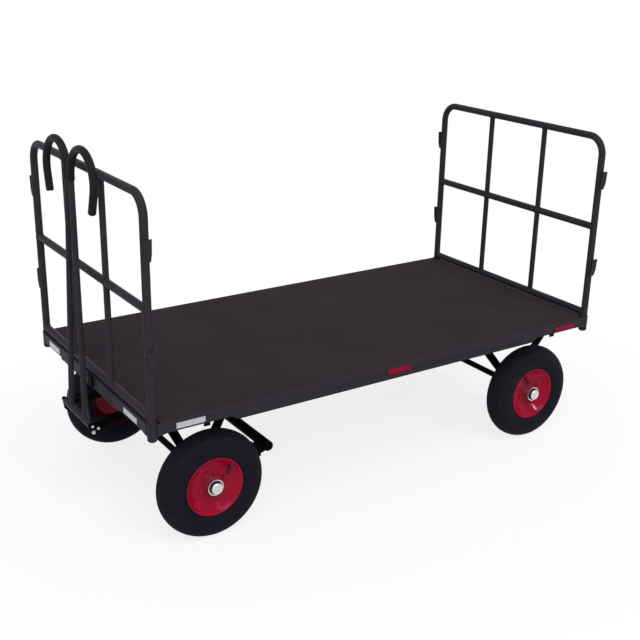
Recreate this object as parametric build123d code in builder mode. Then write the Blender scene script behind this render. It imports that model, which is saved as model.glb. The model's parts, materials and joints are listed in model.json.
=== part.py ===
from build123d import *
import os
from math import atan, atan2, cos, degrees, hypot, radians, sin, sqrt

# Platform trolley with tubular end walls, a turntable bogie and an upright drawbar.
# Millimetres, +X forward to the drawbar, +Y left, +Z up from the floor.

os.makedirs("parts", exist_ok=True)

# Deck and frame
frame_length = 2015.0
frame_width = 1000.0
deck_height = 512.0
board_thickness = 15.0
rail_height = 37.0
skirt_height = 53.0
skirt_from_post = 215.65
skirt_sweep = 85.0
end_skirt_height = 46.0
end_skirt_from_post = 203.15
end_skirt_sweep = 50.0
corner_flare = 7.0
corner_run = 40.0
plate = 4.0
end_flange = 40.0
ledge = 30.0
weld_gap = 0.1
board_gap = 1.0
member_width = 40.0
member_height = 30.0

# Corner sockets and end walls
socket_od = 33.7
socket_wall = 2.6
socket_drop = 64.0
socket_rise = 3.0
socket_floor = 6.0
socket_round = 9.0
post_od = 28.0
wall_height = 764.0
wall_bend = 70.0
mid_rail_height = 387.0
low_rail_height = 18.0
cross_rail_od = 28.0
stave_od = 22.0

# Pockets for side walls, on the posts
pocket_width = 26.0
pocket_length = 75.0
pocket_taper = 27.0
pocket_reach = 27.0
pocket_strap = 3.0
pocket_floor = 12.0
pocket_heights = (180.0, 544.0)

# Small pieces on the rails
reflector_length = 105.0
reflector_height = 20.0
reflector_thickness = 2.5
reflector_drop = 20.0
reflector_from_post = 78.0
marker_height = 22.0
tab_width = 22.0
tab_thickness = 6.0
tab_height = 30.0
tab_drop = 47.0
tab_from_post = 193.0
catch_width = 38.0
catch_height = 42.0
catch_depth = 8.0
catch_side = 16.0

# Wheels and axles
wheel_diameter = 400.0
tyre_width = 100.0
wheel_track = 840.0
axle_from_post = 237.0
tyre_shoulder_inset = 14.0
tyre_shoulder_drop = 12.0
axle_diameter = 25.0
rim_seat_radius = 101.5
rim_seat_half = 27.0
rim_lip_radius = 109.0
rim_lip_half = 40.0
rim_lip_edge = 3.0
rim_plate = 4.0
bowl_edge = 30.0
bowl_floor = 14.0
bowl_floor_radius = 78.0
hub_radius = 30.0
hub_inner = 45.0
hub_outer = 45.0
hub_recess_radius = 25.5
hub_recess = 3.0
running_fit = 0.08
axial_gap = 0.3
spacer_radius = 18.0
washer_radius = 23.0
washer_thickness = 3.0
cap_radius = 21.5
cap_length = 10.0
cap_round = 3.5
cap_depth = 6.0

# Stands that carry the axles
leg_width = 32.0
leg_thickness = 10.0
stand_side = 325.0
stand_block = 46.0
stand_depth = 32.0
front_leg_spread = 108.0
rear_leg_spread = 222.0
strap_thickness = 8.0
strap_overhang = 30.0

# Turntable and bogie
ring_outer = 210.0
ring_inner = 170.0
ring_height = 12.0
ring_gap = 0.3
ring_groove = 3.0
bogie_tube = 30.0
bearer_overhang = 25.0

# Drawbar and its hinge
hinge_from_post = 67.0
hinge_drop = 41.7
hinge_half = 120.0
sleeve_od = 26.9
pin_diameter = 16.0
pin_head = 3.0
pin_end = 20.0
ear_radius = 12.0
ear_thickness = 8.0
ear_corners = ((0.0, 0.0), (-4.0, -25.0), (-48.0, 4.0))
arm_width = 34.0
arm_height = 12.0
arm_clearance = 8.0
arm_rise_run = 60.0
drawbar_lean = 1.5
drawbar_tube = 21.3
leg_base_side = 68.0
leg_top_side = 14.0
leg_top_height = 860.0
hook_radius = 100.0
hook_turn_in = 16.0
hook_tail = 66.0
grip_od = 27.0
grip_lead = 12.0
grip_cap = 4.0
grip_taper = 40.0
gusset_height = 95.0
gusset_foot = 112.0
gusset_thickness = 5.0

# Brake
brake_back = 235.0
brake_height = 279.0
brake_bar_od = 38.0
brake_bar_half = 430.0
brake_bar_round = 9.0
brake_arm_side = 85.0
brake_arm_thickness = 10.0
brake_pivot_back = 150.0
brake_pivot_drop = 18.0
brake_pin_radius = 6.0
brake_eye = 14.0
brake_bar_eye = 29.0
bracket_gap = 2.0
bracket_thickness = 8.0
shoe_gap = 5.0
shoe_thickness = 8.0
shoe_side = 395.0
shoe_width = 50.0
shoe_span = 11.0
shoe_stem = 24.0

# Places worked out from the sizes above
wheel_radius = wheel_diameter / 2
socket_radius = socket_od / 2
post_radius = post_od / 2
post_x = frame_length / 2 - socket_radius
post_y = frame_width / 2 - socket_radius
front_reach = post_x + hinge_from_post + max(sleeve_od / 2, ear_radius)
rear_reach = frame_length / 2 + reflector_thickness
deck_x = -(front_reach - rear_reach) / 2
front_post_x = deck_x + post_x
rear_post_x = deck_x - post_x
front_axle_x = front_post_x - axle_from_post
rear_axle_x = rear_post_x + axle_from_post
axle_z = wheel_radius
hinge_x = front_post_x + hinge_from_post
board_bottom = deck_height - board_thickness
rail_bottom = deck_height - rail_height
member_bottom = board_bottom - member_height
socket_bottom = deck_height - socket_drop
post_bottom = socket_bottom + socket_floor
wall_top = deck_height + wall_height - post_radius
mid_rail_z = deck_height + mid_rail_height
low_rail_z = deck_height + low_rail_height
stave_y = post_y / 3
ring_top = member_bottom
ring_middle = ring_top - ring_height
bogie_top = ring_middle - ring_gap - ring_height
bogie_bottom = bogie_top - bogie_tube
hinge_height = bogie_bottom - hinge_drop
brake_pivot_height = bogie_bottom - brake_pivot_drop
wheel_y = wheel_track / 2
web_inner_y = frame_width / 2 - plate
web_end = sqrt(socket_radius**2 - (socket_radius - plate) ** 2) + weld_gap


def socket_places():
    return [(x, y) for x in (front_post_x, rear_post_x) for y in (post_y, -post_y)]


def finish(builder, name):
    builder.part.label = name
    export_step(builder.part, f"parts/{name}.step")


# Deck board, flush with the frame and clear of the end walls
board_length = frame_length - 2 * (end_flange + board_gap)
board_width = frame_width - 2 * (plate + board_gap)
with BuildPart() as deck_board:
    with BuildSketch(Plane.XY.offset(board_bottom)):
        with Locations((deck_x, 0)):
            Rectangle(board_length, board_width)
    extrude(amount=board_thickness)
finish(deck_board, "deck_board")

# Side and end rails: a web with a swept skirt that deepens at its corners, and shelves behind it
rail_half = post_x - web_end
ledge_half = post_x - socket_radius - weld_gap
end_web_half = post_y - web_end
flange_half = post_y - socket_radius - weld_gap
end_ledge_half = web_inner_y - ledge - weld_gap
end_ledge = end_flange + board_gap + ledge
corner_bottom = rail_bottom - corner_flare
sweep_place = post_x - skirt_from_post
end_sweep_place = post_y - end_skirt_from_post
side_shape = (rail_half, sweep_place, skirt_sweep, deck_height - skirt_height)
end_shape = (end_web_half, end_sweep_place, end_skirt_sweep, deck_height - end_skirt_height)
side_shelves = ((ledge_half, board_bottom, plate + ledge),)
end_shelves = ((flange_half, deck_height, end_flange), (end_ledge_half, board_bottom, end_ledge))
half_length = frame_length / 2
half_width = frame_width / 2
# Columns: name, middle of the outer face, way inward, web shape, shelves as half length, top and depth
for name, face_middle, inward, web_shape, shelves in (
    ("side_rail_left", (deck_x, half_width, 0), (0, -1, 0), side_shape, side_shelves),
    ("side_rail_right", (deck_x, -half_width, 0), (0, 1, 0), side_shape, side_shelves),
    ("end_rail_front", (deck_x + half_length, 0, 0), (-1, 0, 0), end_shape, end_shelves),
    ("end_rail_rear", (deck_x - half_length, 0, 0), (1, 0, 0), end_shape, end_shelves),
):
    web_half, sweep_half, sweep_run, skirt_bottom = web_shape
    skirt_half = sweep_half - sweep_run
    flare_half = web_half - corner_run
    outer_face = Plane(face_middle, x_dir=Vector(0, 0, 1).cross(Vector(*inward)), z_dir=inward)
    with BuildPart() as rail:
        with BuildSketch(outer_face):
            with BuildLine():
                Polyline(
                    (-sweep_half, rail_bottom),
                    (-flare_half, rail_bottom),
                    (-web_half, corner_bottom),
                    (-web_half, deck_height),
                    (web_half, deck_height),
                    (web_half, corner_bottom),
                    (flare_half, rail_bottom),
                    (sweep_half, rail_bottom),
                )
                TangentArc((skirt_half, skirt_bottom), (sweep_half, rail_bottom), tangent=(1, 0))
                Line((-skirt_half, skirt_bottom), (skirt_half, skirt_bottom))
                TangentArc((-skirt_half, skirt_bottom), (-sweep_half, rail_bottom), tangent=(-1, 0))
            make_face()
        extrude(amount=plate)
        for shelf_half, shelf_top, shelf_depth in shelves:
            with BuildSketch(outer_face):
                with Locations((0, shelf_top - plate / 2)):
                    Rectangle(2 * shelf_half, plate)
            extrude(amount=shelf_depth)
    finish(rail, name)

# Cross members under the board: two carry the turntable, two the rear stands
member_offset = (ring_outer + ring_inner) / 2 - member_width / 2
rear_member_back = deck_x - frame_length / 2 + end_ledge + weld_gap + member_width / 2
ring_member = front_axle_x - member_offset + member_width / 2
stand_member = rear_axle_x + rear_leg_spread
member_pitch = (ring_member - stand_member) / 3
member_places = (
    front_axle_x + member_offset - member_width / 2,
    ring_member,
    ring_member - member_pitch,
    stand_member + member_pitch,
    stand_member,
    rear_member_back,
)
member_half = web_inner_y - ledge - weld_gap
with BuildPart() as cross_members:
    for x in member_places:
        with Locations((x, 0, board_bottom - member_height / 2)):
            Box(member_width, 2 * member_half, member_height)
finish(cross_members, "cross_members")

# Corner sockets: tubes with a closed, rounded bottom
with BuildPart() as corner_sockets:
    socket_top = deck_height + socket_rise
    with BuildSketch(Plane.XY.offset(socket_bottom)):
        with Locations(*socket_places()):
            Circle(socket_radius)
    extrude(amount=socket_top - socket_bottom)
    bottom_edges = corner_sockets.edges().group_by(Axis.Z)[0]
    fillet(bottom_edges, radius=socket_round)
    with BuildSketch(Plane.XY.offset(post_bottom)):
        with Locations(*socket_places()):
            Circle(socket_radius - socket_wall)
    extrude(amount=socket_top - post_bottom, mode=Mode.SUBTRACT)
finish(corner_sockets, "corner_sockets")

# End walls: a bent hoop, two cross rails and four staves each, with pockets on the posts
for post_line, end_name in ((front_post_x, "front"), (rear_post_x, "rear")):
    with BuildPart() as hoop:
        with BuildLine() as hoop_line:
            FilletPolyline(
                (post_line, -post_y, post_bottom),
                (post_line, -post_y, wall_top),
                (post_line, post_y, wall_top),
                (post_line, post_y, post_bottom),
                radius=wall_bend,
            )
        with BuildSketch(Plane((post_line, -post_y, post_bottom), x_dir=(1, 0, 0), z_dir=(0, 0, 1))):
            Circle(post_radius)
        sweep(path=hoop_line.line)
    finish(hoop, f"wall_{end_name}_hoop")

    with BuildPart() as rails:
        for bar_z in (low_rail_z, mid_rail_z):
            with Locations(Location((post_line, 0, bar_z), (90, 0, 0))):
                Cylinder(cross_rail_od / 2, 2 * post_y)
        with BuildSketch(Plane.XY.offset(post_bottom)):
            with Locations((post_line, post_y), (post_line, -post_y)):
                Circle(post_radius + weld_gap)
        extrude(amount=wall_top - post_bottom, mode=Mode.SUBTRACT)
    finish(rails, f"wall_{end_name}_rails")

    with BuildPart() as staves:
        with BuildSketch(Plane.XY.offset(low_rail_z)):
            with Locations((post_line, stave_y), (post_line, -stave_y)):
                Circle(stave_od / 2)
        extrude(amount=wall_top - low_rail_z)
        for bar_z, bar_radius in (
            (low_rail_z, cross_rail_od / 2),
            (mid_rail_z, cross_rail_od / 2),
            (wall_top, post_radius),
        ):
            with Locations(Location((post_line, 0, bar_z), (90, 0, 0))):
                Cylinder(bar_radius + weld_gap, 2 * post_y, mode=Mode.SUBTRACT)
    finish(staves, f"wall_{end_name}_staves")

    with BuildPart() as pockets:
        with BuildSketch(Plane((post_line, 0, deck_height), x_dir=(0, 1, 0), z_dir=(1, 0, 0))):
            for height in pocket_heights:
                with BuildLine():
                    Polyline(
                        (post_y, height),
                        (post_y + post_radius + pocket_strap / 2, height),
                        (post_y + pocket_reach - pocket_strap, height + pocket_taper),
                        (post_y + pocket_reach, height + pocket_length),
                        (post_y + pocket_reach - pocket_strap, height + pocket_length),
                        (post_y + pocket_reach - 2 * pocket_strap, height + pocket_taper),
                        (post_y + post_radius, height + pocket_floor),
                        (post_y, height + pocket_floor),
                        close=True,
                    )
                make_face()
            mirror(about=Plane.YZ)
        extrude(amount=pocket_width / 2, both=True)
        with BuildSketch(Plane.XY.offset(deck_height)):
            with Locations((post_line, post_y), (post_line, -post_y)):
                Circle(post_radius + weld_gap)
        extrude(amount=wall_height, mode=Mode.SUBTRACT)
    finish(pockets, f"wall_{end_name}_pockets")

# Reflectors, blank side markers and tabs along the rails
reflector_middle = reflector_from_post + reflector_length / 2
reflector_z = deck_height - reflector_drop
tab_z = deck_height - tab_drop + tab_height / 2
side_face = frame_width / 2 + reflector_thickness / 2
for end, post_line, name in (
    (1, front_post_x, "reflectors_white"),
    (-1, rear_post_x, "reflectors_red"),
):
    end_face = deck_x + end * rear_reach - end * reflector_thickness / 2
    with BuildPart() as reflectors:
        for side in (1, -1):
            with Locations((post_line - end * reflector_middle, side * side_face, reflector_z)):
                Box(reflector_length, reflector_thickness, reflector_height)
            with Locations((end_face, side * (post_y - reflector_middle), reflector_z)):
                Box(reflector_thickness, reflector_length, reflector_height)
    finish(reflectors, name)

with BuildPart() as side_markers:
    for side in (1, -1):
        with Locations((deck_x, side * side_face, reflector_z)):
            Box(reflector_length, reflector_thickness, marker_height)
finish(side_markers, "side_markers")

with BuildPart() as rail_tabs:
    tab_inset = frame_width / 2 - plate - tab_thickness / 2
    for end, post_line in ((1, front_post_x), (-1, rear_post_x)):
        tab_x = deck_x + end * (frame_length / 2 - plate - tab_thickness / 2)
        for side in (1, -1):
            with Locations((post_line - end * tab_from_post, side * tab_inset, tab_z - plate)):
                Box(tab_width, tab_thickness, tab_height)
            with Locations((tab_x, side * (post_y - tab_from_post), tab_z - plate)):
                Box(tab_thickness, tab_width, tab_height)
finish(rail_tabs, "rail_tabs")

# Catch for the upright drawbar, on the front rail
with BuildPart() as drawbar_catch:
    catch_x = deck_x + frame_length / 2 + catch_depth / 2
    with Locations((catch_x, catch_side, rail_bottom + catch_height / 2)):
        Box(catch_depth, catch_width, catch_height)
finish(drawbar_catch, "drawbar_catch")

# Axles: a bar with a spacer inboard of each wheel
axle_half = wheel_y + hub_outer + axial_gap + washer_thickness + cap_depth
spacer_from = stand_side + stand_depth / 2 + weld_gap
spacer_to = wheel_y - hub_inner - axial_gap
for axle_x, end_name in ((front_axle_x, "front"), (rear_axle_x, "rear")):
    with BuildPart() as axle:
        with Locations(Location((axle_x, 0, axle_z), (90, 0, 0))):
            Cylinder(axle_diameter / 2, 2 * axle_half)
        for side in (1, -1):
            with Locations(Location((axle_x, side * (spacer_from + spacer_to) / 2, axle_z), (90, 0, 0))):
                Cylinder(spacer_radius, spacer_to - spacer_from)
    finish(axle, f"{end_name}_axle")

    # Washer and round cap nut on each end of the axle
    with BuildPart() as nuts:
        for side in (1, -1):
            washer_y = side * (wheel_y + hub_outer + axial_gap)
            washer_face = Plane((axle_x, washer_y, axle_z), x_dir=(1, 0, 0), z_dir=(0, side, 0))
            with BuildSketch(washer_face):
                Circle(washer_radius)
            extrude(amount=washer_thickness)
            with BuildSketch(washer_face.offset(washer_thickness)):
                Circle(cap_radius)
            extrude(amount=cap_length)
        outer_edges = nuts.edges().group_by(Axis.Y)
        fillet(outer_edges[0] + outer_edges[-1], radius=cap_round)
        for side in (1, -1):
            washer_y = side * (wheel_y + hub_outer + axial_gap)
            with BuildSketch(Plane((axle_x, washer_y, axle_z), x_dir=(1, 0, 0), z_dir=(0, side, 0))):
                Circle(axle_diameter / 2 + running_fit)
            extrude(amount=washer_thickness + cap_depth + running_fit, mode=Mode.SUBTRACT)
    finish(nuts, f"{end_name}_axle_nuts")

# V-shaped stands: two slanted flat legs that meet in a block on the axle
for axle_x, end_name, spread, stand_top in (
    (front_axle_x, "front", front_leg_spread, bogie_bottom),
    (rear_axle_x, "rear", rear_leg_spread, member_bottom - strap_thickness),
):
    rise = stand_top - axle_z
    leg_half = leg_width / 2 / cos(atan(spread / rise))
    with BuildPart() as stands:
        for side in (1, -1):
            stand_plane = Plane((axle_x, side * stand_side, axle_z), x_dir=(1, 0, 0), z_dir=(0, -1, 0))
            with BuildSketch(stand_plane):
                for lean in (spread, -spread):
                    Polygon(
                        (-leg_half, 0),
                        (leg_half, 0),
                        (lean + leg_half, rise),
                        (lean - leg_half, rise),
                        align=None,
                    )
            extrude(amount=leg_thickness / 2, both=True)
            with BuildSketch(stand_plane):
                Rectangle(stand_block, stand_block)
                if end_name == "rear":
                    with Locations((0, rise + strap_thickness / 2)):
                        Rectangle(2 * (spread + strap_overhang), strap_thickness)
            extrude(amount=stand_depth / 2, both=True)
            with BuildSketch(stand_plane):
                Circle(axle_diameter / 2 + running_fit)
            extrude(amount=stand_depth / 2, both=True, mode=Mode.SUBTRACT)
    finish(stands, f"{end_name}_axle_stands")

# Turntable: two rings with a groove between them for the balls
for low, name in ((ring_middle, "turntable_upper"), (bogie_top, "turntable_lower")):
    groove_z = low if name == "turntable_upper" else low + ring_height
    with BuildPart() as ring:
        with BuildSketch(Plane.XY.offset(low)):
            with Locations((front_axle_x, 0)):
                Circle(ring_outer)
                Circle(ring_inner, mode=Mode.SUBTRACT)
        extrude(amount=ring_height)
        groove_edges = ring.edges().filter_by_position(Axis.Z, groove_z - weld_gap, groove_z + weld_gap)
        chamfer(groove_edges, length=ring_groove)
    finish(ring, name)

# Bogie frame: two bearers over the stands and two cross tubes under the ring
with BuildPart() as bogie_frame:
    bogie_z = bogie_bottom + bogie_tube / 2
    for side in (1, -1):
        with Locations((front_axle_x, side * stand_side, bogie_z)):
            Box(2 * (front_leg_spread + bearer_overhang), bogie_tube, bogie_tube)
        with Locations((front_axle_x + side * front_leg_spread, 0, bogie_z)):
            Box(bogie_tube, 2 * (stand_side - bogie_tube / 2 - weld_gap), bogie_tube)
finish(bogie_frame, "bogie_frame")

# Arms that reach forward from the bogie frame, each with an ear plate for the hinge pin
sleeve_radius = sleeve_od / 2
arm_rear_x = front_axle_x + front_leg_spread + bogie_tube / 2 + weld_gap
arm_front_x = hinge_x - sleeve_radius - arm_clearance
arm_top = hinge_height + arm_height
arm_bend_x = arm_rear_x + arm_rise_run
ear_inner = hinge_half + axial_gap
with BuildPart() as drawbar_arms:
    for side in (1, -1):
        with BuildSketch(Plane((0, side * ear_inner, 0), x_dir=(1, 0, 0), z_dir=(0, -1, 0))):
            Polygon(
                (arm_rear_x, bogie_bottom),
                (arm_bend_x, hinge_height),
                (arm_front_x, hinge_height),
                (arm_front_x, arm_top),
                (arm_bend_x, arm_top),
                (arm_rear_x, bogie_bottom + bogie_tube / 2),
                align=None,
            )
        extrude(amount=side * arm_width)
        with BuildSketch(Plane((hinge_x, side * ear_inner, hinge_height), x_dir=(1, 0, 0), z_dir=(0, -1, 0))):
            with Locations(*ear_corners):
                Circle(ear_radius)
            make_hull()
            Circle(pin_diameter / 2 + running_fit, mode=Mode.SUBTRACT)
        extrude(amount=-side * ear_thickness)
finish(drawbar_arms, "drawbar_arms")

with BuildPart() as hinge_pin:
    ear_outer = ear_inner + ear_thickness
    pin_length = 2 * ear_outer + pin_head + pin_end
    with Locations(Location((hinge_x, (pin_head - pin_end) / 2, hinge_height), (90, 0, 0))):
        Cylinder(pin_diameter / 2, pin_length)
finish(hinge_pin, "hinge_pin")

# Drawbar: a hinge sleeve and two tubes that draw together and end in outward hooks
tube_radius = drawbar_tube / 2
lean_angle = radians(drawbar_lean)
drawbar_plane = Plane(
    (hinge_x, 0, hinge_height), x_dir=(0, 1, 0), z_dir=(cos(lean_angle), 0, sin(lean_angle))
)
with BuildPart() as drawbar_sleeve:
    with Locations(Location((hinge_x, 0, hinge_height), (90, 0, 0))):
        Cylinder(sleeve_radius, 2 * hinge_half)
        Cylinder(pin_diameter / 2 + running_fit, 2 * hinge_half, mode=Mode.SUBTRACT)
finish(drawbar_sleeve, "drawbar_sleeve")

leg_slope = (leg_base_side - leg_top_side) / leg_top_height
hook_sweep = 180 + degrees(atan(leg_slope)) + hook_turn_in
for side, name in ((1, "drawbar_tube_left"), (-1, "drawbar_tube_right")):
    with BuildPart() as drawbar_leg:
        with BuildLine(drawbar_plane) as leg_line:
            straight = Line((side * leg_base_side, 0), (side * leg_top_side, leg_top_height))
            rise_direction = (-side * (leg_base_side - leg_top_side), leg_top_height)
            bend = JernArc(
                start=(side * leg_top_side, leg_top_height),
                tangent=rise_direction,
                radius=hook_radius,
                arc_size=-side * hook_sweep,
            )
            Line(bend @ 1, bend @ 1 + (bend % 1) * hook_tail)
        with BuildSketch(Plane(straight @ 0, z_dir=straight % 0)):
            Circle(tube_radius)
        sweep(path=leg_line.line)
        with Locations(Location((hinge_x, 0, hinge_height), (90, 0, 0))):
            Cylinder(sleeve_radius + weld_gap, 2 * hinge_half, mode=Mode.SUBTRACT)
    finish(drawbar_leg, name)

# Grips over the hooks, closed at their ends
grip_side = leg_top_side + leg_slope * grip_lead
with BuildPart() as handle_grips:
    for side in (1, -1):
        rise_direction = (-side * (leg_base_side - leg_top_side), leg_top_height)
        with BuildLine(drawbar_plane) as grip_line:
            lead = Line((side * grip_side, leg_top_height - grip_lead), (side * leg_top_side, leg_top_height))
            bend = JernArc(
                start=(side * leg_top_side, leg_top_height),
                tangent=rise_direction,
                radius=hook_radius,
                arc_size=-side * hook_sweep,
            )
            tail = Line(bend @ 1, bend @ 1 + (bend % 1) * (hook_tail + weld_gap))
        with BuildSketch(Plane(lead @ 0, z_dir=lead % 0)):
            Circle(grip_od / 2)
            Circle(tube_radius + weld_gap, mode=Mode.SUBTRACT)
        sweep(path=grip_line.line)
        with BuildSketch(Plane(tail @ 1, z_dir=tail % 1)):
            Circle(grip_od / 2)
        extrude(amount=grip_cap, taper=grip_taper)
finish(handle_grips, "handle_grips")

with BuildPart() as drawbar_gussets:
    gusset_edge = leg_base_side + (tube_radius + weld_gap) / cos(atan(leg_slope))
    gusset_low = sleeve_radius + weld_gap
    with BuildSketch(drawbar_plane):
        for side in (1, -1):
            Polygon(
                (side * (gusset_edge - leg_slope * gusset_low), gusset_low),
                (side * (gusset_edge - leg_slope * gusset_height), gusset_height),
                (side * gusset_foot, gusset_low),
                align=None,
            )
    extrude(amount=gusset_thickness / 2, both=True)
finish(drawbar_gussets, "drawbar_gussets")

# Brake: a cross bar on two swinging arms, with a curved shoe behind each front tyre
bar_x = front_axle_x - brake_back
bar_radius = brake_bar_od / 2
pivot_x = front_axle_x - brake_pivot_back
with BuildPart() as brake_bar:
    with Locations(Location((bar_x, 0, brake_height), (90, 0, 0))):
        Cylinder(bar_radius, 2 * brake_bar_half)
    fillet(brake_bar.edges().filter_by(GeomType.CIRCLE), radius=brake_bar_round)
finish(brake_bar, "brake_bar")

with BuildPart() as brake_arms:
    for side in (1, -1):
        with BuildSketch(Plane((0, side * brake_arm_side, 0), x_dir=(1, 0, 0), z_dir=(0, -1, 0))):
            with Locations((bar_x, brake_height)):
                Circle(brake_bar_eye)
            with Locations((pivot_x, brake_pivot_height)):
                Circle(brake_eye)
            make_hull()
            with Locations((bar_x, brake_height)):
                Circle(bar_radius + weld_gap, mode=Mode.SUBTRACT)
            with Locations((pivot_x, brake_pivot_height)):
                Circle(brake_pin_radius + running_fit, mode=Mode.SUBTRACT)
        extrude(amount=brake_arm_thickness / 2, both=True)
finish(brake_arms, "brake_arms")

# Brackets under the rear cross tube of the bogie, each with a pin for its brake arm
with BuildPart() as brake_brackets:
    bracket_inner = brake_arm_side + brake_arm_thickness / 2 + bracket_gap
    brake_pin_length = brake_arm_thickness + 2 * bracket_gap
    tube_back = front_axle_x - front_leg_spread
    for side in (1, -1):
        bracket_plane = Plane((0, side * bracket_inner, 0), x_dir=(1, 0, 0), z_dir=(0, side, 0))
        bracket_flip = -side
        with BuildSketch(bracket_plane):
            with Locations((pivot_x, bracket_flip * brake_pivot_height)):
                Circle(brake_eye)
            with Locations((tube_back, bracket_flip * (bogie_bottom - brake_eye / 2))):
                Rectangle(bogie_tube, brake_eye)
            make_hull()
        extrude(amount=bracket_thickness)
        with BuildSketch(bracket_plane):
            with Locations((pivot_x, bracket_flip * brake_pivot_height)):
                Circle(brake_pin_radius)
        extrude(amount=-brake_pin_length)
finish(brake_brackets, "brake_brackets")

with BuildPart() as brake_shoes:
    shoe_middle = atan2(brake_height - axle_z, -brake_back)
    shoe_inner = wheel_radius + shoe_gap
    bar_distance = hypot(brake_back, brake_height - axle_z)
    for side in (1, -1):
        shoe_plane = Plane(
            (front_axle_x, side * shoe_side, axle_z),
            x_dir=(cos(shoe_middle), 0, sin(shoe_middle)),
            z_dir=(0, -1, 0),
        )
        with BuildSketch(shoe_plane):
            with BuildLine():
                CenterArc((0, 0), shoe_inner, -shoe_span / 2, shoe_span)
                CenterArc((0, 0), shoe_inner + shoe_thickness, -shoe_span / 2, shoe_span)
                for end in (1, -1):
                    end_angle = radians(end * shoe_span / 2)
                    direction = Vector(cos(end_angle), sin(end_angle))
                    Line(direction * shoe_inner, direction * (shoe_inner + shoe_thickness))
            make_face()
            with Locations(((shoe_inner + bar_distance) / 2 + shoe_thickness / 4, 0)):
                Rectangle(bar_distance - shoe_inner - shoe_thickness / 2, shoe_stem)
            with Locations((bar_distance, 0)):
                Circle(bar_radius + weld_gap, mode=Mode.SUBTRACT)
        extrude(amount=shoe_width / 2, both=True)
finish(brake_shoes, "brake_shoes")

# Wheels: a tyre on a dished rim, which is welded to a hub with a recess for its seal
bore_radius = axle_diameter / 2 + running_fit
flank_radius = (wheel_radius + rim_seat_radius) / 2
seat_inner = rim_seat_radius - rim_plate
for axle_x, end_name in ((front_axle_x, "front"), (rear_axle_x, "rear")):
    for side, side_name in ((1, "left"), (-1, "right")):
        wheel_plane = Plane((axle_x, side * wheel_y, axle_z), x_dir=(0, side, 0), z_dir=(side, 0, 0))
        spin_axis = Axis((axle_x, 0, axle_z), (0, 1, 0))
        with BuildPart() as tyre:
            with BuildSketch(wheel_plane):
                with BuildLine():
                    bead_half = rim_seat_half - axial_gap
                    bead_radius = rim_seat_radius + axial_gap
                    lip_half = rim_lip_half - rim_plate - axial_gap
                    lip_radius = rim_lip_radius + axial_gap
                    shoulder_half = tyre_width / 2 - tyre_shoulder_inset
                    shoulder_radius = wheel_radius - tyre_shoulder_drop
                    Line((-bead_half, bead_radius), (bead_half, bead_radius))
                    for edge in (1, -1):
                        lip = (edge * lip_half, lip_radius)
                        shoulder = (edge * shoulder_half, shoulder_radius)
                        Line((edge * bead_half, bead_radius), lip)
                        ThreePointArc(lip, (edge * tyre_width / 2, flank_radius), shoulder)
                    ThreePointArc(
                        (-shoulder_half, shoulder_radius), (0, wheel_radius), (shoulder_half, shoulder_radius)
                    )
                make_face()
            revolve(axis=spin_axis)
        finish(tyre, f"tyre_{end_name}_{side_name}")

        with BuildPart() as rim:
            with BuildSketch(wheel_plane):
                with Locations((0, rim_seat_radius - rim_plate / 2)):
                    Rectangle(2 * rim_seat_half, rim_plate)
                for edge in (1, -1):
                    Polygon(
                        (edge * rim_seat_half, rim_seat_radius),
                        (edge * (rim_lip_half - rim_plate), rim_lip_radius),
                        (edge * rim_lip_half, rim_lip_radius),
                        (edge * rim_lip_half, rim_lip_radius - rim_lip_edge),
                        (edge * bowl_edge, seat_inner),
                        (edge * rim_seat_half, seat_inner),
                        align=None,
                    )
                Polygon(
                    (bowl_edge, seat_inner),
                    (bowl_floor, bowl_floor_radius),
                    (bowl_floor, hub_radius + weld_gap),
                    (bowl_floor - rim_plate, hub_radius + weld_gap),
                    (bowl_floor - rim_plate, bowl_floor_radius),
                    (bowl_edge - rim_plate, seat_inner),
                    align=None,
                )
            revolve(axis=spin_axis)
        finish(rim, f"rim_{end_name}_{side_name}")

        with BuildPart() as hub:
            with BuildSketch(wheel_plane):
                Polygon(
                    (-hub_inner, bore_radius),
                    (-hub_inner, hub_radius),
                    (hub_outer, hub_radius),
                    (hub_outer, hub_recess_radius),
                    (hub_outer - hub_recess, hub_recess_radius),
                    (hub_outer - hub_recess, bore_radius),
                    align=None,
                )
            revolve(axis=spin_axis)
        finish(hub, f"hub_{end_name}_{side_name}")
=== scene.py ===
import json
from math import cos, pi, radians, sin, sqrt

import bmesh
import bpy
from mathutils import Matrix, Vector


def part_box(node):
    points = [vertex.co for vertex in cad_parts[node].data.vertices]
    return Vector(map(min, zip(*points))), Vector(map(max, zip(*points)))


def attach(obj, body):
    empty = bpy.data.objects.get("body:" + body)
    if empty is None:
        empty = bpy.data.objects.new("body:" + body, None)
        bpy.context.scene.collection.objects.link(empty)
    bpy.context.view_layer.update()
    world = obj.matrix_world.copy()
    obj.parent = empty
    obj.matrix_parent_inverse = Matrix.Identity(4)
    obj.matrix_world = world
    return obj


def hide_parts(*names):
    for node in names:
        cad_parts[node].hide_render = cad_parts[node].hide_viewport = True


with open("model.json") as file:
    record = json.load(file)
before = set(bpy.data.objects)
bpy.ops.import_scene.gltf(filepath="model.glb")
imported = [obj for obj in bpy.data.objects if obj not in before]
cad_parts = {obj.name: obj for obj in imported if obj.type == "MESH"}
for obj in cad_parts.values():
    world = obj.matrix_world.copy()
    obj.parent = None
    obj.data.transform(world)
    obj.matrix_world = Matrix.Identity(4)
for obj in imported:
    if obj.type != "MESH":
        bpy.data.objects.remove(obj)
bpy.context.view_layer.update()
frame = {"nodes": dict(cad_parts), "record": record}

scene = bpy.context.scene
nodes = frame["nodes"]
mm = 0.001
print("frame: %d nodes" % len(nodes))


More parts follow.
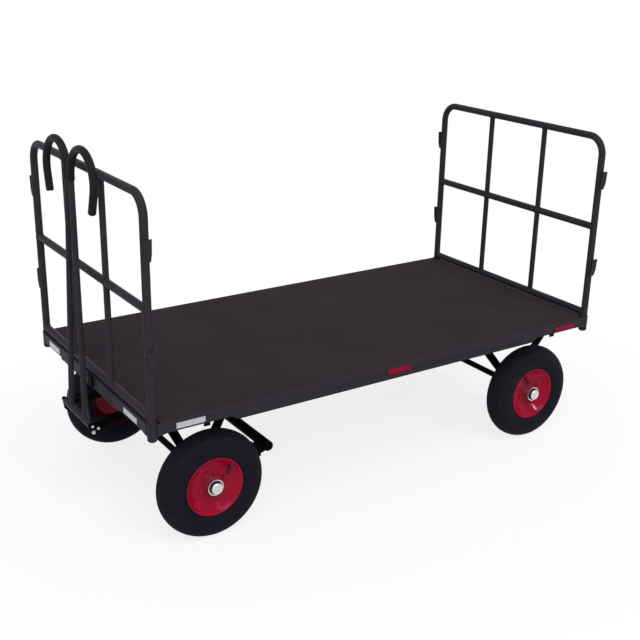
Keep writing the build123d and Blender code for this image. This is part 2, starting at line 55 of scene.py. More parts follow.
class Wire:  # a node's output, with maths written as plain expressions
    def __init__(self, tree, socket):
        self.tree = tree
        self.socket = socket

    def maths(self, operation, first, second):
        node = self.tree.nodes.new("ShaderNodeMath")
        node.operation = operation
        for slot, value in zip(node.inputs, (first, second)):
            plug(self.tree, slot, value)
        return Wire(self.tree, node.outputs[0])

    def __add__(self, other):
        return self.maths("ADD", self, other)

    def __radd__(self, other):
        return self.maths("ADD", other, self)

    def __sub__(self, other):
        return self.maths("SUBTRACT", self, other)

    def __rsub__(self, other):
        return self.maths("SUBTRACT", other, self)

    def __mul__(self, other):
        return self.maths("MULTIPLY", self, other)

    def __rmul__(self, other):
        return self.maths("MULTIPLY", other, self)


def plug(tree, slot, value):  # links a wire or several, or sets a plain value
    if isinstance(value, Wire):
        tree.links.new(value.socket, slot)
    elif isinstance(value, list):
        for wire in value:
            tree.links.new(wire.socket, slot)
    elif isinstance(value, tuple) and slot.type == "RGBA":
        slot.default_value = (*value, 1.0)
    else:
        slot.default_value = value


class Graph:  # a node tree, with one way to add any node
    def node(self, kind, settings=None, sockets=None, out=0):
        made = self.tree.nodes.new(kind)
        for key, value in (settings or {}).items():
            setattr(made, key, value)
        for key, value in (sockets or {}).items():
            plug(self.tree, made.inputs[key], value)
        return Wire(self.tree, made.outputs[out])


class Finish(Graph):  # one material and its nodes
    def __init__(self, name):
        self.material = bpy.data.materials.new(name)
        self.material.use_nodes = True
        self.tree = self.material.node_tree
        self.shader = self.tree.nodes["Principled BSDF"]
        self.place = self.node("ShaderNodeTexCoord", out="Object")

    def noise(self, scale, detail=2.0, roughness=0.5, stretch=None):
        vector = self.place
        if stretch:
            vector = self.node("ShaderNodeMapping", None, {"Vector": self.place, "Scale": stretch})
        values = {"Vector": vector, "Scale": scale, "Detail": detail, "Roughness": roughness}
        return self.node("ShaderNodeTexNoise", None, values, "Fac")

    def band(self, value, low, high):
        values = {"Value": value, "From Min": low, "From Max": high}
        return self.node("ShaderNodeMapRange", {"interpolation_type": "SMOOTHSTEP"}, values)

    def mix(self, amount, first, second):
        made = self.tree.nodes.new("ShaderNodeMix")
        made.data_type = "RGBA"
        for slot, value in zip((made.inputs[0], made.inputs[6], made.inputs[7]), (amount, first, second)):
            plug(self.tree, slot, value)
        return Wire(self.tree, made.outputs[2])

    def parts(self, vector=None):
        split = self.tree.nodes.new("ShaderNodeSeparateXYZ")
        plug(self.tree, split.inputs[0], vector or self.place)
        return [Wire(self.tree, socket) for socket in split.outputs]

    def edges(self, radius):  # softened normals along edges, and a mask of those edges
        soft = self.node("ShaderNodeBevel", {"samples": 4}, {"Radius": radius})
        hard = self.node("ShaderNodeNewGeometry", out="Normal")
        match = self.node("ShaderNodeVectorMath", {"operation": "DOT_PRODUCT"}, {0: soft, 1: hard}, "Value")
        return soft, 1.0 - self.band(match, 0.9, 0.995)

    def bump(self, height, strength, distance, normal=None):
        values = {"Height": height, "Strength": strength, "Distance": distance}
        if normal:
            values["Normal"] = normal
        self.set({"Normal": self.node("ShaderNodeBump", None, values)})

    def set(self, values):
        for key, value in values.items():
            plug(self.tree, self.shader.inputs[key], value)


class Grower(Graph):  # a geometry tree with named inputs, ending in a plain painted mesh
    def __init__(self, name, inputs):
        self.tree = bpy.data.node_groups.new(name, "GeometryNodeTree")
        self.keys = {}
        faces = self.tree.interface
        faces.new_socket("Geometry", in_out="INPUT", socket_type="NodeSocketGeometry")
        for label, kind in inputs + [("Finish", "Material")]:
            made = faces.new_socket(label, in_out="INPUT", socket_type="NodeSocket" + kind)
            self.keys[label] = made.identifier
        faces.new_socket("Geometry", in_out="OUTPUT", socket_type="NodeSocketGeometry")
        self.source = self.tree.nodes.new("NodeGroupInput")
        self.result = self.tree.nodes.new("NodeGroupOutput")

    def take(self, label):
        return Wire(self.tree, self.source.outputs[label])

    def end(self, shape):
        solid = self.node("GeometryNodeRealizeInstances", None, {"Geometry": shape})
        coat = {"Geometry": solid, "Material": self.take("Finish")}
        plug(self.tree, self.result.inputs[0], self.node("GeometryNodeSetMaterial", None, coat))

    def grow(self, name, carrier, values):
        holder = bpy.data.objects.new(name + "Carrier", carrier)
        scene.collection.objects.link(holder)
        modifier = holder.modifiers.new("grow", "NODES")
        modifier.node_group = self.tree
        for label, value in values.items():
            modifier[self.keys[label]] = value
        ready = holder.evaluated_get(bpy.context.evaluated_depsgraph_get())
        mesh = bpy.data.meshes.new_from_object(ready)
        holder.modifiers.remove(modifier)
        bpy.data.objects.remove(holder)
        return placed(name, mesh)


def placed(name, mesh, crease=32.0):
    mesh.name = name
    mesh.shade_smooth()
    mesh.set_sharp_from_angle(angle=radians(crease))
    made = bpy.data.objects.new(name, mesh)
    scene.collection.objects.link(made)
    return made


def fitted(piece, body):
    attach(piece, body)
    return piece


def middle(node):
    low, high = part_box(node)
    return (Vector(low) + Vector(high)) / 2


def boardFilm():
    look = {"colour": (0.0302, 0.0222, 0.027), "worn": (0.0455, 0.0365, 0.0418), "meshPitch": 0.0045}
    f = Finish("boardFilm")
    x, y = f.parts()[:2]
    cloudy = f.noise(3.5, 4.0, 0.6)
    scuffs = f.band(f.noise(9.0, 6.0, 0.7, (0.12, 1.0, 1.0)), 0.62, 0.74)
    fine = f.noise(240.0, 2.0)
    colour = f.mix(f.band(cloudy, 0.3, 0.7) * 0.35 + fine * 0.1, look["colour"], look["worn"])
    f.set({
        "Base Color": f.mix(scuffs * 0.25, colour, look["worn"]),
        "Roughness": 0.78 - scuffs * 0.1 + fine * 0.06,
        "Specular IOR Level": 0.02,
    })
    turns = 2 * pi / look["meshPitch"]
    weave = f.node("ShaderNodeMath", {"operation": "SINE"}, {0: (x + y) * turns})
    weft = f.node("ShaderNodeMath", {"operation": "SINE"}, {0: (x - y) * turns})
    f.bump(weave * weft + fine * 0.4, 0.18, 0.0004)
    return f.material


def powderCoat(name, look):
    f = Finish(name)
    peel = f.noise(420.0, 2.0)
    cloudy = f.noise(6.0, 3.0, 0.6)
    chips = f.band(f.noise(55.0, 5.0, 0.7), 0.52, 0.66)
    soft, edge = f.edges(0.0022)
    up = f.parts(f.node("ShaderNodeNewGeometry", out="Normal"))[2]
    settled = f.band(up, 0.6, 1.0) * f.band(cloudy, 0.35, 0.7) * look["settle"]
    coat = f.mix(settled + cloudy * 0.12, look["colour"], look["dust"])
    f.set({
        "Base Color": f.mix(edge * chips * 0.55, coat, look["bare"]),
        "Roughness": look["roughness"] + cloudy * 0.1 + settled * 0.2,
        "Specular IOR Level": look["shine"],
    })
    f.bump(peel, 0.1, 0.0005, soft)
    return f.material


def rimEnamel():
    look = {
        "deep": (0.22, 0.002, 0.016), "bright": (0.38, 0.004, 0.03), "soilAndShade": (0.1, 0.004, 0.012),
        "shade": (0.022, 0.005, 0.01), "rubbedAndHighlight": (0.45, 0.06, 0.11),
        "hubDirtAndShade": (0.028, 0.066),  # from the axle outwards, in metres
        "barrelFrom": (0.37, 0.374), "barrelTo": (0.424, 0.428),  # from the middle of the trolley
    }
    front, rear = middle("front_axle"), middle("rear_axle")
    axles = {"middle": (front.x + rear.x) / 2, "half": (front.x - rear.x) / 2, "height": front.z}
    f = Finish("rimEnamel")
    peel = f.noise(160.0, 2.0)
    cloudy = f.noise(14.0, 4.0, 0.6)
    grime = f.band(f.noise(34.0, 5.0, 0.65), 0.5, 0.75)
    soft, edge = f.edges(0.0025)
    x, y, z = f.parts()
    depth = f.node("ShaderNodeMath", {"operation": "ABSOLUTE"}, {0: y})
    fromMid = f.node("ShaderNodeMath", {"operation": "ABSOLUTE"}, {0: x - axles["middle"]})
    along, high = fromMid - axles["half"], z - axles["height"]
    reach = f.node("ShaderNodeMath", {"operation": "SQRT"}, {0: along * along + high * high})
    nearHub = 1 - f.band(reach, *look["hubDirtAndShade"])  # painted shade round the hub, with dirt that gathers there
    paint = f.mix(cloudy, look["deep"], look["bright"])
    # darker with noisy grime and with the painted shade round the hub
    soiledAndShaded = f.mix(grime * 0.3 + nearHub * 0.5, paint, look["soilAndShade"])
    # painted shade on the inside of the rim, behind its dish
    barrel = f.band(depth, *look["barrelFrom"]) * (1 - f.band(depth, *look["barrelTo"]))
    shaded = f.mix(barrel * 0.9, soiledAndShaded, look["shade"])
    f.set({
        # lighter along the edges: a painted highlight, with some rubbed wear
        "Base Color": f.mix(edge * 0.45 * (1 - barrel), shaded, look["rubbedAndHighlight"]),
        "Roughness": 0.28 + cloudy * 0.14,
        "Specular IOR Level": 0.01,
        "Coat Weight": 0.14,
        "Coat Roughness": 0.13,
    })
    f.bump(peel, 0.06, 0.0006, soft)
    return f.material


def tyreRubber():
    look = {
        "dark": (0.008, 0.0072, 0.0134), "dusty": (0.0135, 0.012, 0.0192), "greyed": (0.045, 0.043, 0.052),
    }
    f = Finish("tyreRubber")
    grain = f.noise(700.0, 2.0)
    cloudy = f.noise(18.0, 4.0, 0.65)
    soft, edge = f.edges(0.0016)
    rubber = f.mix(f.band(cloudy, 0.3, 0.75) * 0.5, look["dark"], look["dusty"])
    f.set({
        "Base Color": f.mix(edge * 0.8, rubber, look["greyed"]),  # along moulded edges
        "Roughness": 0.55 + cloudy * 0.2,
        "Specular IOR Level": 0.05,
    })
    f.bump(grain, 0.12, 0.0004, soft)
    return f.material


def zincPlate():
    look = {"dull": (0.6, 0.6, 0.63), "bright": (0.74, 0.74, 0.75)}
    f = Finish("zincPlate")
    brushed = f.noise(300.0, 3.0, 0.6, (1.0, 6.0, 1.0))
    cloudy = f.noise(40.0, 3.0)
    f.set({
        "Base Color": f.mix(cloudy, look["dull"], look["bright"]),
        "Metallic": 1.0,
        "Roughness": 0.24 + brushed * 0.16,
    })
    f.bump(brushed, 0.06, 0.0003)
    return f.material


def gripMoulding():
    look = {"dark": (0.012, 0.0105, 0.0135), "worn": (0.02, 0.018, 0.022)}
    f = Finish("gripMoulding")
    grain = f.noise(900.0, 2.0)
    cloudy = f.noise(22.0, 3.0)
    f.set({
        "Base Color": f.mix(cloudy, look["dark"], look["worn"]),
        "Roughness": 0.42 + cloudy * 0.14,
        "Specular IOR Level": 0.04,
    })
    f.bump(grain, 0.15, 0.0004)
    return f.material


def reflector(name, look):
    f = Finish(name)
    prisms = {"Vector": f.place, "Scale": 330.0}
    cell = f.node("ShaderNodeTexVoronoi", {"feature": "F1"}, prisms, "Distance")
    soft, edge = f.edges(0.0012)
    face = f.mix(f.band(cell, 0.1, 0.6), look["bright"], look["deep"])
    f.set({
        "Base Color": f.mix(edge * 0.35, face, look["deep"]),
        "Roughness": 0.22 + cell * 0.15,
        "Specular IOR Level": look["shine"],
        "Coat Weight": look["shine"],
        "Coat Roughness": 0.08,
    })
    f.bump(cell, 0.35, 0.0008, soft)
    return f.material


framePaint = {
    "colour": (0.0295, 0.0258, 0.0332), "dust": (0.05, 0.0445, 0.0535), "settle": 0.3,
    "bare": (0.12, 0.113, 0.125), "roughness": 0.3, "shine": 0.02,
}
chassisPaint = {
    "colour": (0.0018, 0.0018, 0.0016), "dust": (0.022, 0.0215, 0.0205), "settle": 0.8,
    "bare": (0.03, 0.03, 0.028), "roughness": 0.4, "shine": 0.01,
}
whitePrisms = {"deep": (0.45, 0.43, 0.5), "bright": (0.61, 0.59, 0.67), "shine": 0.2}
redPrisms = {"deep": (0.2, 0.004, 0.022), "bright": (0.34, 0.008, 0.038), "shine": 0.03}
finishes = {
    "deck_board": boardFilm(),
    "frame_paint": powderCoat("framePaint", framePaint),
    "chassis_paint": powderCoat("chassisPaint", chassisPaint),
    "rim_paint": rimEnamel(),
    "tyre": tyreRubber(),
    "zinc_steel": zincPlate(),
    "grip_plastic": gripMoulding(),
    "reflector_white": reflector("reflectorWhite", whitePrisms),
    "reflector_red": reflector("reflectorRed", redPrisms),
}
for part in frame["record"]["subparts"]:
    node = nodes[part["node"]]
    node.data.materials.clear()
    node.data.materials.append(finishes[part["material_slot"]])
print("finishes: %d on the CAD nodes" % len(finishes))


def steepRail(side):  # the rail with a shorter, steeper end to its skirt
    skirt = {
        "plain": (690.0, 775.0), "steep": (671.0, 707.0),  # its end's reach, from the rail's middle
        "below": 476.0, "slack": 0.5,  # only what hangs lower is moved
    }
    work = bmesh.new()
    work.from_mesh(nodes[f"side_rail_{side}"].data)
    bmesh.ops.remove_doubles(work, verts=work.verts, dist=1e-6)
    bmesh.ops.dissolve_limit(work, angle_limit=radians(0.2), verts=work.verts, edges=work.edges)
    centre = middle(f"side_rail_{side}").x
    inner, outer = skirt["plain"]
    steepInner, steepOuter = skirt["steep"]
    for vert in work.verts:
        reach = abs(vert.co.x - centre) / mm
        if vert.co.z < skirt["below"] * mm and inner - skirt["slack"] < reach < outer + skirt["slack"]:
            share = (reach - inner) / (outer - inner)
            moved = steepInner + share * (steepOuter - steepInner)
            vert.co.x = centre + (moved if vert.co.x > centre else -moved) * mm
    bmesh.ops.triangulate(work, faces=work.faces)
    mesh = bpy.data.meshes.new(f"steepRail_{side}")
    work.to_mesh(mesh)
    work.free()
    mesh.materials.append(finishes["frame_paint"])
    rail = fitted(placed(f"steepRail_{side}", mesh), "trolley")
    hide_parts(f"side_rail_{side}")


for side in ("left", "right"):
    steepRail(side)
print("rails: 2 with steep skirt ends")


def spun(name, outline, origin, axis, steps, finish, closed=True):
    # outline holds (along the axis, radius) in millimetres; closed joins its last point to its first
    aim = Vector(axis).normalized()
    across = aim.orthogonal().normalized()
    if abs(aim.y) > 0.99:  # wheels start at the front
        across = Vector((1, 0, 0))
    upward = aim.cross(across)
    work = bmesh.new()
    rings = []
    for step in range(steps):
        turn = 2 * pi * step / steps
        spoke = across * cos(turn) + upward * sin(turn)
        points = [origin + (aim * along + spoke * radius) * mm for along, radius in outline]
        rings.append([work.verts.new(point) for point in points])
    count = len(outline)
    for step in range(steps):
        here, there = rings[step], rings[(step + 1) % steps]
        for i in range(count if closed else count - 1):
            j = (i + 1) % count
            work.faces.new((here[i], here[j], there[j], there[i]))
    bmesh.ops.remove_doubles(work, verts=work.verts, dist=1e-6)
    bmesh.ops.recalc_face_normals(work, faces=work.faces)
    mesh = bpy.data.meshes.new(name)
    work.to_mesh(mesh)
    work.free()
    mesh.materials.append(finish)
    return placed(name, mesh)


wheels = {}  # name: middle of the wheel, outward side
for end in ("front", "rear"):
    for side, outward in (("left", 1), ("right", -1)):
        wheels[f"{end}_{side}"] = (middle(f"tyre_{end}_{side}"), outward)


def tyreOutline():
    tyre = {
        "bead": (26.7, 101.8), "lip": (35.7, 109.3), "shoulder": (36.0, 188.0),  # half width, radius
        "bulge": 50.0, "radius": 200.0, "wallSteps": 44, "crownEdge": 2.0,
        "grooves": (5.0, 15.0, 25.0), "grooveHalf": 1.7, "grooveDepth": 3.0, "grooveLip": 0.35,
        "rings": (  # radius, half width, height
            (117.0, 2.2, 1.3), (125.0, 0.9, 0.7), (163.0, 0.9, 0.6), (171.0, 1.8, 1.0), (179.0, 1.8, 1.0),
        ),
    }
    lipW, lipR = tyre["lip"]
    shoulderW, shoulderR = tyre["shoulder"]
    crown = (shoulderW ** 2 + (tyre["radius"] - shoulderR) ** 2) / (2 * (tyre["radius"] - shoulderR))

    def treadRadius(w):
        return tyre["radius"] - crown + sqrt(crown ** 2 - w ** 2)

    half = [tyre["bead"], tyre["lip"]]
    tall = shoulderR - lipR
    swell = tyre["bulge"] - lipW
    for step in range(1, tyre["wallSteps"] + 1):  # sidewall, with its moulded rings
        share = step / tyre["wallSteps"]
        r = lipR + tall * share
        w = lipW + swell * 4 * share * (1 - share) + (shoulderW - lipW) * share
        w += sum(high * max(0.0, 1 - ((r - at) / wide) ** 2) for at, wide, high in tyre["rings"])
        half.append((w, r))
    for groove in reversed(tyre["grooves"]):
        edge, deep, lip = tyre["grooveHalf"], tyre["grooveDepth"], tyre["grooveLip"]
        flank = [(edge + 1.2, 0.0), (edge + 0.3, lip), (edge - 0.5, deep)]
        for shift, drop in flank + [(-shift, drop) for shift, drop in reversed(flank)]:
            half.append((groove + shift, treadRadius(groove + shift) - drop))
    half.append((tyre["crownEdge"], treadRadius(tyre["crownEdge"])))
    return half + [(-w, r) for w, r in reversed(half)]


outline = tyreOutline()
for wheel, (hub, outward) in wheels.items():
    tread = spun(f"ribbedTyre_{wheel}", outline, hub, (0, outward, 0), 128, finishes["tyre"])
    fitted(tread, f"wheel_{wheel}")
    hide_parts(f"tyre_{wheel}")
print("tyres: %d points in the outline" % len(outline))


def sealOutline():  # a lip seal that wraps the washer between hub and cap
    seal = {
        "inner": 44.9, "face": 48.4, "front": 48.9,  # along the axle
        "hole": 21.7, "washer": 23.1, "outer": 25.2, "round": 0.7,  # radii
    }
    inner, face, front = seal["inner"], seal["face"], seal["front"]
    hole, washer, outer = seal["hole"], seal["washer"], seal["outer"]
    return [
        (inner, washer), (inner, outer), (face, outer), (front, outer - seal["round"]),
        (front, hole), (face, hole), (face, washer),
    ]


def valveOutline():  # rubber foot, stem and ridged cap, from the rim outwards
    valve = {
        "foot": 6.0, "stem": 4.6, "cap": 5.2, "sunk": -2.5, "length": 33.0,
        "ridges": 5, "firstRidge": 17.0, "pitch": 2.2, "notch": 0.5,
    }
    foot, stem, cap, tip = valve["foot"], valve["stem"], valve["cap"], valve["length"]
    rows = [(valve["sunk"], 0.0), (valve["sunk"], foot), (1.0, foot), (3.0, stem + 1.2)]
    rows += [(6.0, stem), (15.0, stem - 0.3), (15.2, cap)]
    for ridge in range(valve["ridges"]):
        at = valve["firstRidge"] + valve["pitch"] * ridge
        low = cap - valve["notch"]
        rows += [(at, cap), (at + 0.4, low), (at + 1.2, low), (at + 1.6, cap)]
    return rows + [(tip - 1.0, cap), (tip, cap - 1.2), (tip, 0.0)]


# degrees up from +X
valveTurns = {"front_left": 140.0, "front_right": 20.0, "rear_left": 64.0, "rear_right": 215.0}
seat = {"along": 21.5, "radius": 88.5, "lean": (0.6, -0.8)}  # on the bowl's slanted wall, bent inwards
for wheel, (hub, outward) in wheels.items():
    seal = spun(f"hubSeal_{wheel}", sealOutline(), hub, (0, outward, 0), 56, finishes["tyre"])
    fitted(seal, "trolley")
    turn = radians(valveTurns[wheel])
    spoke = Vector((cos(turn), 0, sin(turn)))
    foot = hub + (spoke * seat["radius"] + Vector((0, outward, 0)) * seat["along"]) * mm
    stem = Vector((0, outward, 0)) * seat["lean"][0] + spoke * seat["lean"][1]
    valve = spun(f"valve_{wheel}", valveOutline(), foot, stem, 24, finishes["tyre"], False)
    fitted(valve, f"wheel_{wheel}")
print("seals and valves on %d wheels" % len(wheels))


def boltTree():
    # shares of the width across flats, and of the head's height
    shape = {"corner": 0.577, "crownTop": 0.36, "crownFoot": 0.49, "crownDeep": 0.16}
    g = Grower("boltHead", [(label, "Float") for label in ("Across", "Height", "Washer", "Plate")])
    across, height, plate = g.take("Across"), g.take("Height"), g.take("Plate")

    def lifted(piece, rise):
        up = g.node("ShaderNodeCombineXYZ", None, {"Z": rise})
        return g.node("GeometryNodeTransform", None, {"Geometry": piece, "Translation": up})

    disc = {"Vertices": 24, "Radius": g.take("Washer"), "Depth": plate}
    hexagon = {"Vertices": 6, "Radius": across * shape["corner"], "Depth": height}
    cone = {
        "Vertices": 24, "Depth": height * shape["crownDeep"],
        "Radius Top": across * shape["crownTop"], "Radius Bottom": across * shape["crownFoot"],
    }
    washer = lifted(g.node("GeometryNodeMeshCylinder", None, disc), plate * 0.5)
    head = lifted(g.node("GeometryNodeMeshCylinder", None, hexagon), plate + height * 0.5)
    crown = lifted(g.node("GeometryNodeMeshCone", None, cone), plate + height)
    bolt = g.node("GeometryNodeJoinGeometry", None, {"Geometry": [washer, head, crown]})
    aim = g.node("GeometryNodeInputNamedAttribute", {"data_type": "FLOAT_VECTOR"}, {"Name": "aim"})
    size = g.node("GeometryNodeInputNamedAttribute", {"data_type": "FLOAT"}, {"Name": "size"})
    turn = g.node("FunctionNodeAlignRotationToVector", {"axis": "Z"}, {"Vector": aim})
    spots = {"Points": g.take("Geometry"), "Instance": bolt, "Rotation": turn, "Scale": size}
    g.end(g.node("GeometryNodeInstanceOnPoints", None, spots))
    return g


def boltSpots(name, spots):  # (place, direction, size) rows as points with attributes
    mesh = bpy.data.meshes.new(name)
    mesh.from_pydata([tuple(place) for place, aim, size in spots], [], [])
    aims = mesh.attributes.new("aim", "FLOAT_VECTOR", "POINT")
    aims.data.foreach_set("vector", [part for place, aim, size in spots for part in aim])
    sizes = mesh.attributes.new("size", "FLOAT", "POINT")
    sizes.data.foreach_set("value", [size for place, aim, size in spots])
    return mesh


bolts = boltTree()
boltSize = {  # in metres
    "Across": 0.013, "Height": 0.0065, "Washer": 0.0105, "Plate": 0.0016, "Finish": finishes["zinc_steel"],
}
rimBolts = {"count": 4, "radius": 50.0, "face": 14.0, "first": 72.0}
rimBoltSize = {**boltSize, "Across": 0.011, "Washer": 0.0085, "Finish": finishes["rim_paint"]}
for wheel, (hub, outward) in wheels.items():
    spots = []
    for k in range(rimBolts["count"]):
        turn = radians(rimBolts["first"] + 360 / rimBolts["count"] * k)
        spoke = Vector((cos(turn), 0, sin(turn)))
        offset = spoke * rimBolts["radius"] + Vector((0, outward, 0)) * rimBolts["face"]
        spots.append((hub + offset * mm, (0, outward, 0), 1.0))
    nuts = bolts.grow(f"rimBolts_{wheel}", boltSpots("rimBoltSpots", spots), rimBoltSize)
    fitted(nuts, f"wheel_{wheel}")

hinge = middle("hinge_pin")
pinEnds = {1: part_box("hinge_pin")[1][1], -1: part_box("hinge_pin")[0][1]}
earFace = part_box("drawbar_arms")[1][1]
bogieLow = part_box("bogie_frame")[0][2]
bogieMid = middle("bogie_frame")
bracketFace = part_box("brake_brackets")[1][1]
brakePivot = {"back": 150.0, "drop": 18.0, "size": 1.0}  # from the bogie's middle and underside
pivot = Vector((bogieMid.x - brakePivot["back"] * mm, 0, bogieLow - brakePivot["drop"] * mm))
earBolts = ((-22.0, -13.0, 0.6), (-4.0, -24.0, 0.75))  # along X, along Z, size
pinBolt = 0.55
ringBolts = {"along": 108.0, "side": 156.3, "size": 1.1}
spots = []
for outward in (1, -1):
    aim = (0, outward, 0)
    for x, z, size in earBolts:
        spots.append((Vector((hinge.x + x * mm, outward * earFace, hinge.z + z * mm)), aim, size))
    spots.append((Vector((hinge.x, pinEnds[outward], hinge.z)), aim, pinBolt))
    spots.append((Vector((pivot.x, outward * bracketFace, pivot.z)), aim, brakePivot["size"]))
    for forward in (1, -1):
        x, y = bogieMid.x + forward * ringBolts["along"] * mm, outward * ringBolts["side"] * mm
        spots.append((Vector((x, y, bogieLow)), (0, 0, -1), ringBolts["size"]))
fitted(bolts.grow("frameBolts", boltSpots("frameBoltSpots", spots), boltSize), "trolley")
print("bolts: %d on the frame, %d on each rim" % (len(spots), rimBolts["count"]))


def weldTree():
    g = Grower("weldBead", [("Bead", "Float"), ("Step", "Float"), ("Ripple", "Float")])
    path = g.node("GeometryNodeMeshToCurve", None, {"Mesh": g.take("Geometry")})
    spacing = {"Curve": path, "Length": g.take("Step")}
    even = g.node("GeometryNodeResampleCurve", {"mode": "LENGTH"}, spacing)
    section = g.node("GeometryNodeCurvePrimitiveCircle", None, {"Resolution": 8, "Radius": g.take("Bead")})
    swept = {"Curve": even, "Profile Curve": section, "Fill Caps": True}
    bead = g.node("GeometryNodeCurveToMesh", None, swept)
    grain = g.node("ShaderNodeTexNoise", None, {"Scale": 520.0, "Detail": 1.0}, "Fac")
    outward = g.node("GeometryNodeInputNormal")
    lift = {0: outward, "Scale": (grain - 0.5) * g.take("Ripple")}
    offset = g.node("ShaderNodeVectorMath", {"operation": "SCALE"}, lift)
    g.end(g.node("GeometryNodeSetPosition", None, {"Geometry": bead, "Offset": offset}))
    return g


def saddle(place, branch, along, branchRadius, mainRadius, count=40):  # where one tube meets another
    across = branch.cross(along).normalized()
    path = []
    for k in range(count):
        turn = 2 * pi * k / count
        side = branchRadius * cos(turn)
        rise = sqrt(max(mainRadius ** 2 - side ** 2, 0.0))
        path.append(place + (across * side + along * branchRadius * sin(turn) + branch * rise) * mm)
    return path


def frameRound(place, first, second):  # a rectangle about a place
    corners = ((1, 1), (-1, 1), (-1, -1), (1, -1))
    return [place + (first * a + second * b) * mm for a, b in corners]


def weldPaths(name, paths):  # closed loops as loose edges
    verts, edges = [], []
    for path in paths:
        start = len(verts)
        verts += [tuple(point) for point in path]
        edges += [(start + i, start + (i + 1) % len(path)) for i in range(len(path))]
    mesh = bpy.data.meshes.new(name)
    mesh.from_pydata(verts, edges, [])
    return mesh


right, across, up = Vector((1, 0, 0)), Vector((0, 1, 0)), Vector((0, 0, 1))
# radii, with the cross rails as thick as the posts
tube = {"post": 14.0, "stave": 11.0, "leg": 10.65, "sleeve": 13.45, "brakeBar": 19.0}
proud = {"branch": 0.5, "post": 0.6, "main": 0.2, "brakeBar": 0.6}  # how far a bead's path stands off a tube
wallWelds = []
for end in ("front", "rear"):
    hoopLow, hoopHigh = (Vector(corner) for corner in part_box(f"wall_{end}_hoop"))
    railLow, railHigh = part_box(f"wall_{end}_rails")
    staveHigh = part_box(f"wall_{end}_staves")[1]
    x = (hoopLow.x + hoopHigh.x) / 2
    postY = hoopHigh.y - tube["post"] * mm
    staveY = staveHigh[1] - tube["stave"] * mm
    inset = tube["post"] * mm
    lowZ, midZ, topZ = railLow[2] + inset, railHigh[2] - inset, hoopHigh.z - inset
    for outward in (1, -1):
        for z in (lowZ, midZ):
            place = Vector((x, outward * postY, z))
            radii = (tube["post"] + proud["branch"], tube["post"] + proud["post"])
            wallWelds.append(saddle(place, -outward * across, up, *radii))
        for z, way in ((lowZ, up), (midZ, -up), (midZ, up), (topZ, -up)):
            place = Vector((x, outward * staveY, z))
            radii = (tube["stave"] + proud["branch"], tube["post"] + proud["main"])
            wallWelds.append(saddle(place, way, across, *radii))
standWelds = []
stands = {
    "side": 325.0, "legDeep": 4.6, "strap": 8.0,
    "frontSpread": 108.0, "frontHalf": 17.9, "rearSpread": 222.0, "rearHalf": 21.1,
}
arms = {"side": 103.3, "halfWide": 17.0, "halfHigh": 7.5}
rearMid = middle("rear_axle")
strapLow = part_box("rear_axle_stands")[1][2] - stands["strap"] * mm
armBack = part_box("drawbar_arms")[0][0]
for outward in (1, -1):
    for forward in (1, -1):
        y = outward * stands["side"] * mm
        front = Vector((bogieMid.x + forward * stands["frontSpread"] * mm, y, bogieLow))
        rear = Vector((rearMid.x + forward * stands["rearSpread"] * mm, y, strapLow))
        standWelds.append(frameRound(front, right * stands["frontHalf"], across * stands["legDeep"]))
        standWelds.append(frameRound(rear, right * stands["rearHalf"], across * stands["legDeep"]))
    armEnd = Vector((armBack, outward * arms["side"] * mm, bogieLow + arms["halfHigh"] * mm))
    standWelds.append(frameRound(armEnd, across * arms["halfWide"], up * arms["halfHigh"]))
drawbarWelds = []
legs = {"lean": 1.5, "footSide": 68.0, "topSide": 14.0, "tall": 860.0}
leanBack = radians(legs["lean"])
drawIn = legs["footSide"] - legs["topSide"]
for outward in (1, -1):
    tall = Vector((-sin(leanBack), 0, cos(leanBack))) * legs["tall"]
    climb = (tall - across * outward * drawIn).normalized()
    foot = Vector((hinge.x, outward * legs["footSide"] * mm, hinge.z))
    radii = (tube["leg"] + proud["branch"], tube["sleeve"] + proud["main"])
    drawbarWelds.append(saddle(foot, climb, across, *radii))
brakeWelds = []
brakeArms = {"side": 85.0, "halfThick": 5.0, "points": 36}
barMid = middle("brake_bar")
turns = [2 * pi * k / brakeArms["points"] for k in range(brakeArms["points"])]
beadReach = (tube["brakeBar"] + proud["brakeBar"]) * mm
for outward in (1, -1):
    for face in (-1, 1):
        y = (outward * brakeArms["side"] + face * brakeArms["halfThick"]) * mm
        place = Vector((barMid.x, y, barMid.z))
        brakeWelds.append([place + (right * cos(turn) + up * sin(turn)) * beadReach for turn in turns])
welds = weldTree()
weldSize = {"Bead": 0.0021, "Step": 0.0016, "Ripple": 0.0012}
for name, paths, body, slot in (
    ("wallWelds", wallWelds, "trolley", "frame_paint"),
    ("standWelds", standWelds, "trolley", "chassis_paint"),
    ("drawbarWelds", drawbarWelds, "drawbar", "frame_paint"),
    ("brakeWelds", brakeWelds, "brake", "chassis_paint"),
):
    values = {**weldSize, "Finish": finishes[slot]}
    fitted(welds.grow(name, weldPaths(name + "Paths", paths), values), body)
print("welds: %d loops" % (len(wallWelds) + len(standWelds) + len(drawbarWelds) + len(brakeWelds)))


def seenDirectly(tree):  # 1 for rays that show a surface, 0 for those that light one
    lightPath = tree.nodes.new("ShaderNodeLightPath")
    rays = ("Is Camera Ray", "Is Glossy Ray", "Is Transmission Ray")
    seen, shiny, through = [Wire(tree, lightPath.outputs[ray]) for ray in rays]
    return seen + shiny + through


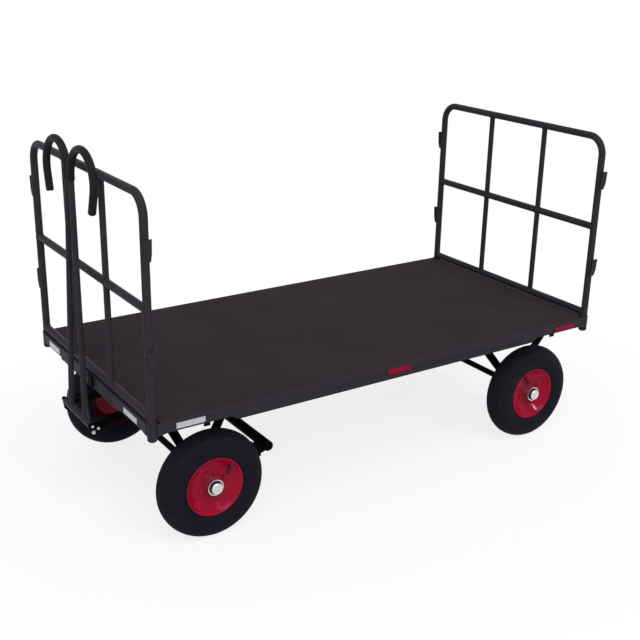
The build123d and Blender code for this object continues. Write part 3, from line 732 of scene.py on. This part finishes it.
def pearlFloor():
    look = {
        "colour": (0.93, 0.93, 0.93), "pale": (0.95, 0.95, 0.95),
        "clearFrom": 1.3, "clearTo": 2.4, "squeeze": 1.6, "shadowShare": 0.18,
    }
    f = Finish("pearlFloor")
    x, y = f.parts()[:2]
    far = f.node("ShaderNodeMath", {"operation": "SQRT"}, {0: x * x + y * y * look["squeeze"]})
    fade = f.band(far, look["clearFrom"], look["clearTo"])
    grain = f.noise(60.0, 2.0)
    f.set({
        "Base Color": f.mix(grain, look["colour"], look["pale"]),
        "Roughness": 0.9,
        "Specular IOR Level": 0.0,
    })
    glow = f.node("ShaderNodeEmission", None, {"Color": (1, 1, 1), "Strength": 1.0})
    factor = (1 - (1 - fade) * look["shadowShare"]) * seenDirectly(f.tree)
    lit = Wire(f.tree, f.shader.outputs[0])
    blend = f.tree.nodes.new("ShaderNodeMixShader")
    for slot, value in zip(blend.inputs, (factor, lit, glow)):
        plug(f.tree, slot, value)
    f.tree.links.new(blend.outputs[0], f.tree.nodes["Material Output"].inputs["Surface"])
    return f.material


def studio():
    room = {"floorHalf": 60.0, "dim": 0.5, "bright": 1.0}  # world strength as light, and as it is seen
    bpy.ops.mesh.primitive_plane_add(size=2 * room["floorHalf"])
    floor = bpy.context.object
    floor.name = "studioFloor"
    floor.data.materials.append(pearlFloor())
    world = bpy.data.worlds.new("studioWorld")
    scene.world = world
    world.use_nodes = True
    tree = world.node_tree
    back = tree.nodes["Background"]
    back.inputs["Color"].default_value = (1, 1, 1, 1)
    plug(tree, back.inputs["Strength"], room["dim"] + (room["bright"] - room["dim"]) * seenDirectly(tree))
    lamps = {  # name: direction the light comes from, strength, angular size in degrees
        "key": ((0.25, 0.55, 1.0), 1.05, 35.0),
        "fill": ((1.0, 0.35, 0.55), 0.3, 50.0),
        "spark": ((-0.15, 0.77, 0.62), 0.6, 4.0),
    }
    for name, (source, strength, spread) in lamps.items():
        lamp = bpy.data.lights.new(name, "SUN")
        lamp.energy = strength
        lamp.angle = radians(spread)
        holder = bpy.data.objects.new(name, lamp)
        holder.rotation_euler = Vector(source).to_track_quat("Z", "Y").to_euler()
        scene.collection.objects.link(holder)
    scene.view_settings.view_transform = "Standard"


def photoCamera():
    shot = {  # fitted to the corners of deck and walls and to the wheels, in metres, the lens in millimetres
        "place": (2.1901, 3.2638, 1.987),
        "right": (-0.8332, 0.5527, 0.0189),
        "up": (-0.1771, -0.2991, 0.9376),
        "lens": 58.17, "sensor": 36.0,
    }
    camera = bpy.data.cameras.new("photoCamera")
    camera.lens = shot["lens"]
    camera.sensor_width = shot["sensor"]
    camera.sensor_fit = "HORIZONTAL"
    holder = bpy.data.objects.new("photoCamera", camera)
    rightward = Vector(shot["right"]).normalized()
    back = rightward.cross(Vector(shot["up"])).normalized()
    turn = Matrix((rightward, back.cross(rightward), back)).transposed()
    holder.matrix_world = Matrix.Translation(shot["place"]) @ turn.to_4x4()
    scene.collection.objects.link(holder)
    scene.camera = holder


studio()
photoCamera()
print("studio and camera set")
